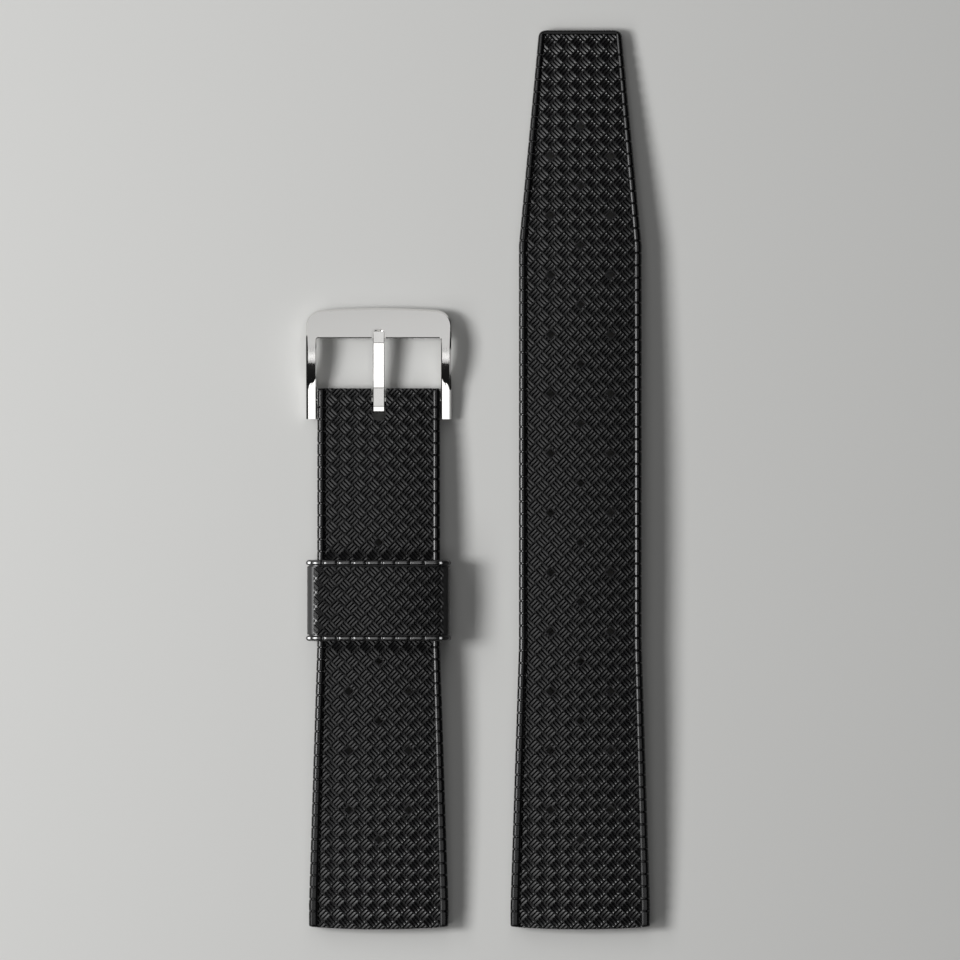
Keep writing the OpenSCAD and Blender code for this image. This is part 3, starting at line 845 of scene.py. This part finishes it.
def frame_spokes():
    """Pairs of inner and outer points on the right, from the ear's end to the middle of the bar."""
    inner_y = REACH - BAR_W
    corner_y = REACH - FRONT_SAG - FRONT_R
    arm = EAR_STATIONS + [EAR_FORE + FOOT_STEP]
    arm += [EAR_FORE + ARM_SPREAD * (i / ARM_STEPS) ** ARM_CROWDING for i in range(1, ARM_STEPS + 1)]
    spokes = [((WINDOW_HALF, y), (FRAME_HALF, y)) for y in arm]
    last = arm[-1]
    for i in range(1, BEND_STEPS):
        t = i / BEND_STEPS
        spokes.append((
            (WINDOW_HALF, last + (inner_y - WINDOW_R - last) * t),
            (FRAME_HALF, last + (corner_y - last) * t),
        ))
    inner = arc(WINDOW_HALF - WINDOW_R, inner_y - WINDOW_R, WINDOW_R, 0, 90, CORNER_STEPS)
    outer = arc(FRAME_HALF - FRONT_R, corner_y, FRONT_R, 0, 90, CORNER_STEPS)
    spokes += list(zip(inner, outer))
    for i in range(1, BAR_STEPS + 1):
        t = 1 - i / BAR_STEPS
        x = (FRAME_HALF - FRONT_R) * t
        spokes.append((((WINDOW_HALF - WINDOW_R) * t, inner_y), (x, REACH - FRONT_SAG * t**2)))
    return spokes


def frame_section(inner, outer):
    """The frame's section between an inner and an outer point, with its edges chamfered."""
    wide = math.dist(inner, outer)
    fall = math.tan(math.radians(EDGE_SLOPE))
    flat = wide - EDGE_IN - EDGE_OUT
    across = [(0, EDGE_IN * fall)]
    across += [(EDGE_IN + flat * i / TOP_STEPS, 0) for i in range(TOP_STEPS + 1)]
    across += [(wide, EDGE_OUT * fall)]
    top = []
    low = []
    for a, drop in across:
        x = inner[0] + (outer[0] - inner[0]) * a / wide
        y = inner[1] + (outer[1] - inner[1]) * a / wide
        y += foot_shift(x) * max(0, 1 - abs(y - EAR_FORE) / FOOT_FADE)
        top.append((x, y, frame_top(x, y) - drop))
        low.append((x, y, frame_under(y) + min(drop, EDGE_IN)))
    return top + low[::-1]


def frame_shell(name):
    """The frame from ear to ear: its right side's sections, and the same ones mirrored."""
    right = [frame_section(i, o) for i, o in frame_spokes()]
    left = [[(-x, y, z) for x, y, z in ring] for ring in right[-2::-1]]
    rings = right + left
    count = len(rings[0])
    points = [p for ring in rings for p in ring]
    faces = skin(len(rings), count)
    half = count // 2
    for first in (0, (len(rings) - 1) * count):
        for i in range(half - 1):
            faces.append((first + i, first + i + 1, first + count - 2 - i, first + count - 1 - i))
    return new_piece(name, points, faces)


# The notch for the tongue's tip, cut into the front bar down to a seat over the spring bar's axis
TONGUE_HALF = 0.825
TIP_Y = 10.1
TIP_R = 0.6
NOTCH_GAP = 0.2
NOTCH_SEAT = 1.07


def tip_outline(start, gap):
    """Plan of the tongue's tip from y = start, grown by a gap."""
    r = TIP_R + gap
    x = TONGUE_HALF + gap - r
    y = TIP_Y + gap - r
    return arc(x, y, r, 0, 90, 8) + arc(-x, y, r, 90, 180, 8) + [(-x - r, start), (x + r, start)]


def steel(name, dark, pale, smooth, matt, mark, detail):
    """Stainless steel whose marks, given as (x, y, z) sizes in millimetres, shade it faintly."""
    material = bpy.data.materials.new(name)
    material.use_nodes = True
    tree = material.node_tree
    shader = tree.nodes["Principled BSDF"]
    place = add_node(tree, "ShaderNodeTexCoord")
    drawn = add_node(tree, "ShaderNodeMapping", {
        "Vector": place.outputs["Object"], "Scale": [1 / (size * MM) for size in mark],
    })
    marks = add_node(tree, "ShaderNodeTexNoise", {
        "Vector": drawn.outputs[0], "Scale": 1, "Detail": detail,
    })
    tone = add_node(tree, "ShaderNodeMix", {
        "Factor": marks.outputs["Fac"], 6: linear(dark), 7: linear(pale),
    }, data_type="RGBA")
    sheen = add_node(tree, "ShaderNodeMapRange", {
        "Value": marks.outputs["Fac"], "To Min": smooth, "To Max": matt,
    })
    tree.links.new(tone.outputs[2], shader.inputs["Base Color"])
    tree.links.new(sheen.outputs[0], shader.inputs["Roughness"])
    shader.inputs["Metallic"].default_value = 1
    return material


# Brushed fine along the bar, in strokes of 0.03 mm: it spreads a light into an even pale grey.
satin = steel(
    "satin_stainless_steel", "#e1e0de", "#e5e4e2", smooth=0.22, matt=0.24,
    mark=(1.5, 0.03, 0.03), detail=3,
)
# The same steel, buffed on a wheel: a near mirror, white or black, with faint wipe marks.
polish = steel(
    "polished_stainless_steel", "#eae9e7", "#f3f2f0", smooth=0.08, matt=0.14,
    mark=(0.8, 0.8, 0.8), detail=2,
)
bar_y = short_half.y + short_half.length - BAR_IN
bar_z = END_THICK / 2

buckle = frame_shell("buckle_frame_steel")
combine(buckle, "DIFFERENCE", prism("notch", tip_outline(0, NOTCH_GAP), bar_z + NOTCH_SEAT, CUT_HIGH))
combine(buckle, "DIFFERENCE", rod("pin hole", 0, bar_z, PIN_HOLE_R, CUT_SIDE))
finish_piece(buckle, short_half.x, bar_y, 0, satin, sharp=17)
buckle.data.materials.append(polish)
for face in buckle.data.polygons:
    x = face.center.x / MM - short_half.x
    y = face.center.y / MM - bar_y
    on_ear = y < EAR_FORE + foot_shift(x) + FOOT_STEP / 2
    on_arm_edge = y < CREST_Y and face.normal.z < ARM_POLISHED_BELOW
    if on_ear or on_arm_edge or face.normal.z < POLISHED_BELOW:
        face.material_index = 1
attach(buckle, "frame")
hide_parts("buckle_frame")


# The buckle tongue
# A polished steel tongue, bent from bar, whose round head turns on the spring bar and whose flat
# tip rests in the notch of the front bar.

# Places and heights are measured from the spring bar's axis
HEAD_R = 1.7
HEAD_TOP = 1.3
HEAD_FORE = 1.8
SHANK_T = 1
CREASE_Y = 8.25
CREASE_TOP = 2.3
CREASE_CORE = 1.65
TIP_TOP = 2
TIP_LOW = 1.1
TIP_BEVEL = 0.25
CREASE_W = 0.07
CREASE_DEEP = 0.1
TONGUE_EDGE = 0.09
HEEL_Y = 0.85
HEEL_DROP = 0.105
HEEL_R = 0.15
# The block that trims the tip's plan reaches past the tongue
PLAN_LOW = -3
PLAN_HIGH = 4


def tongue_outline():
    """Side view of the tongue from the spring bar, with three fine creases across its top."""
    heel_z = HEAD_TOP - HEEL_DROP - HEEL_R
    back = [(-HEAD_R + HEEL_R - HEEL_R * s, heel_z + HEEL_R * c) for c, s in arc(0, 0, 1, 0, 90, 4)]
    head = back + arc(0, 0, HEAD_R, 180, 360, 24)
    top = []
    for y, z in ((CREASE_Y, CREASE_TOP), (HEAD_FORE, HEAD_TOP), (-HEEL_Y, HEAD_TOP)):
        top += [(y + CREASE_W, z), (y, z - CREASE_DEEP), (y - CREASE_W, z)]
    return head + [
        (HEAD_FORE, HEAD_TOP - SHANK_T),
        (CREASE_Y, TIP_LOW),
        (TIP_Y - TIP_BEVEL, TIP_LOW),
        (TIP_Y, TIP_LOW + TIP_BEVEL),
        (TIP_Y, TIP_TOP - TIP_BEVEL),
        (TIP_Y - TIP_BEVEL, TIP_TOP),
    ] + top


def tongue_shell(name):
    """The tongue's side view made solid, with both long edges eased towards its spine."""
    outline = tongue_outline()
    spine = [
        (0, 0), (HEAD_FORE, HEAD_TOP - SHANK_T / 2), (CREASE_Y, CREASE_CORE),
        (TIP_Y, (TIP_TOP + TIP_LOW) / 2),
    ]
    flank = TONGUE_HALF - TONGUE_EDGE
    count = len(outline)
    points = []
    for x, inset in ((-TONGUE_HALF, TONGUE_EDGE), (-flank, 0), (flank, 0), (TONGUE_HALF, TONGUE_EDGE)):
        for y, z in outline:
            core_y = min(max(y, 0), TIP_Y - TIP_R)
            core_z = between(spine, y)
            away = Vector((y - core_y, z - core_z))
            away *= 1 - inset / max(away.length, inset)
            points.append((x, core_y + away.x, core_z + away.y))
    caps = [tuple(range(count)), tuple(range(3 * count, 4 * count))]
    return new_piece(name, points, caps + skin(4, count))


tongue = tongue_shell("buckle_tongue_steel")
combine(tongue, "INTERSECT", prism("tip plan", tip_outline(PLAN_LOW, 0), PLAN_LOW, PLAN_HIGH))
combine(tongue, "DIFFERENCE", rod("bore", 0, 0, BAR_BORE_R, CUT_SIDE))
finish_piece(tongue, short_half.x, bar_y, bar_z, polish, sharp=24)
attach(tongue, "tongue")
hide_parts("buckle_tongue")


# The spring bar
# A turned steel tube pressed over two sprung pins, with a coil spring between them that pushes the
# pins into the ears. Pressing a pin in with a tool lets the buckle off.

WIRE_D = 0.15
COIL_R = 0.425
COIL_HALF = 7.15
COIL_TURNS = 11


def coil_tree():
    """One half of the coil spring: wire swept along a helix, laid along X."""
    tree = bpy.data.node_groups.new("coil spring", "GeometryNodeTree")
    for name, kind in (
        ("Geometry", "NodeSocketGeometry"), ("Turns", "NodeSocketFloat"),
        ("Coil Radius", "NodeSocketFloat"), ("Length", "NodeSocketFloat"),
        ("Wire Radius", "NodeSocketFloat"), ("Material", "NodeSocketMaterial"),
    ):
        tree.interface.new_socket(name, in_out="INPUT", socket_type=kind)
    tree.interface.new_socket("Coil", in_out="OUTPUT", socket_type="NodeSocketGeometry")
    given = add_node(tree, "NodeGroupInput").outputs
    helix = add_node(tree, "GeometryNodeCurveSpiral", {
        "Resolution": 20, "Rotations": given["Turns"], "Start Radius": given["Coil Radius"],
        "End Radius": given["Coil Radius"], "Height": given["Length"],
    })
    wire = add_node(tree, "GeometryNodeCurvePrimitiveCircle", {
        "Resolution": 8, "Radius": given["Wire Radius"],
    })
    swept = add_node(tree, "GeometryNodeCurveToMesh", {
        "Curve": helix.outputs[0], "Profile Curve": wire.outputs[0], "Fill Caps": True,
    })
    laid = add_node(tree, "GeometryNodeTransform", {
        "Geometry": swept.outputs[0], "Rotation": (0, math.pi / 2, 0),
    })
    whole = add_node(tree, "GeometryNodeRealizeInstances", {0: laid.outputs[0]})
    dressed = add_node(tree, "GeometryNodeSetMaterial", {
        "Geometry": whole.outputs[0], "Material": given["Material"],
    })
    add_node(tree, "NodeGroupOutput", {0: dressed.outputs[0]})
    return tree


# Turned on a lathe: fine rings of 0.05 mm round the bar and a tight bright line along it.
bar_steel = steel(
    "turned_stainless_steel", "#a9a9a6", "#bfbfbc", smooth=0.2, matt=0.32,
    mark=(0.05, 3, 3), detail=2,
)
# Drawn through a die and wound: a darker grey wire with a duller shine.
spring_steel = steel(
    "drawn_spring_wire", "#8f8f8b", "#a5a5a1", smooth=0.28, matt=0.4,
    mark=(0.05, 3, 3), detail=2,
)
coil_spring = coil_tree()
for side in ("left", "right"):
    coil = new_piece("springbar_spring_" + side, [(0, 0, 0)], [])
    grow(coil, coil_spring, {
        "Turns": COIL_TURNS, "Coil Radius": COIL_R, "Length": COIL_HALF - WIRE_D / 2,
        "Wire Radius": WIRE_D / 2, "Material": spring_steel,
    })
    if side == "left":
        coil.data.transform(Matrix.Rotation(math.pi, 4, "Z"))
    finish_piece(coil, short_half.x, bar_y, bar_z, spring_steel, sharp=60)
    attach(coil, "short_half")
    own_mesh(coil)
    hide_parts("springbar_spring")
for node in ("springbar_tube", "springbar_pin_left", "springbar_pin_right"):
    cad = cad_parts[node]
    cad.data.materials.clear()
    cad.data.materials.append(bar_steel)


# The floor, the lights and the camera
# A plain pale sheet, a camera that looks straight down, and five soft lamps: two on the left for
# the relief's walls, a card low on the right for the edges, and a panel before and behind for steel.

FLOOR_HALF = 2
# The photograph's 960 pixels span this width at the height of the strap's top
FRAME_MM = 137.63
VIEW_PLANE = 3.5
LENS = 400
SENSOR = 36
CAMERA_X = 0.27
CAMERA_Y = -0.05

floor_points = [(x * FLOOR_HALF, y * FLOOR_HALF, 0) for x, y in ((-1, -1), (1, -1), (1, 1), (-1, 1))]
floor_mesh = bpy.data.meshes.new("floor")
floor_mesh.from_pydata(floor_points, [], [(0, 1, 2, 3)])
floor = bpy.data.objects.new("floor", floor_mesh)
bpy.context.scene.collection.objects.link(floor)
# Matt paper: a pale grey with no shine, so it shows the shadows and nothing else.
paper = bpy.data.materials.new("matt_paper")
paper.use_nodes = True
paper_shader = paper.node_tree.nodes["Principled BSDF"]
paper_shader.inputs["Base Color"].default_value = linear("#d4d4d2")
paper_shader.inputs["Roughness"].default_value = 0.9
paper_shader.inputs["Specular IOR Level"].default_value = 0.1
floor.data.materials.append(paper)

world = bpy.data.worlds.new("studio")
world.use_nodes = True
bpy.context.scene.world = world
# A nearly black room, so that rubber and steel mirror only the lamps and the sheet
backdrop = world.node_tree.nodes["Background"]
backdrop.inputs["Color"].default_value = linear("#f4f5f7")
backdrop.inputs["Strength"].default_value = 0.009


def softbox(name, place, target, wide, tall, radiance):
    """A soft rectangular lamp with a given radiance, facing a point."""
    lamp = bpy.data.lights.new(name, "AREA")
    lamp.shape = "RECTANGLE"
    lamp.size = wide
    lamp.size_y = tall
    lamp.energy = radiance * math.pi * wide * tall
    holder = bpy.data.objects.new(name, lamp)
    holder.location = place
    holder.rotation_euler = (Vector(target) - Vector(place)).to_track_quat("-Z", "Y").to_euler()
    holder.visible_camera = False
    bpy.context.scene.collection.objects.link(holder)


# High on the left, a broad lamp and a bright core: the relief's walls, the rims and the beads mirror them
softbox(
    "left_softbox", place=(-0.403, 0, 0.417), target=(0, 0, 0), wide=0.95, tall=0.15, radiance=3.2,
)
softbox(
    "left_core", place=(-0.367, 0, 0.436), target=(0, 0, 0), wide=0.14, tall=0.2, radiance=21,
)
# Low on the right and dim: the steel's right edges mirror it
softbox(
    "right_card", place=(0.43, -0.133, 0.172), target=(-0.014, 0.014, 0),
    wide=0.25, tall=0.075, radiance=0.32,
)
# Before the strap, high: the ears and the tongue's slope mirror it as white
softbox(
    "front_panel", place=(0, -0.16, 0.6), target=(0, 0.02, 0), wide=0.4, tall=0.13, radiance=1.45,
)
# From overhead to low behind the strap: flat rubber mirrors it darkly, and the satin bar as pale grey
softbox(
    "back_panel", place=(0, 0.2, 0.355), target=(0, -0.006, 0), wide=0.18, tall=0.58, radiance=0.76,
)

lens = bpy.data.cameras.new("camera")
lens.lens = LENS
lens.sensor_width = SENSOR
lens.clip_start = 0.01
camera = bpy.data.objects.new("camera", lens)
camera.location = (CAMERA_X * MM, CAMERA_Y * MM, (VIEW_PLANE + FRAME_MM * LENS / SENSOR) * MM)
bpy.context.scene.collection.objects.link(camera)
bpy.context.scene.camera = camera
bpy.context.scene.view_settings.view_transform = "Standard"
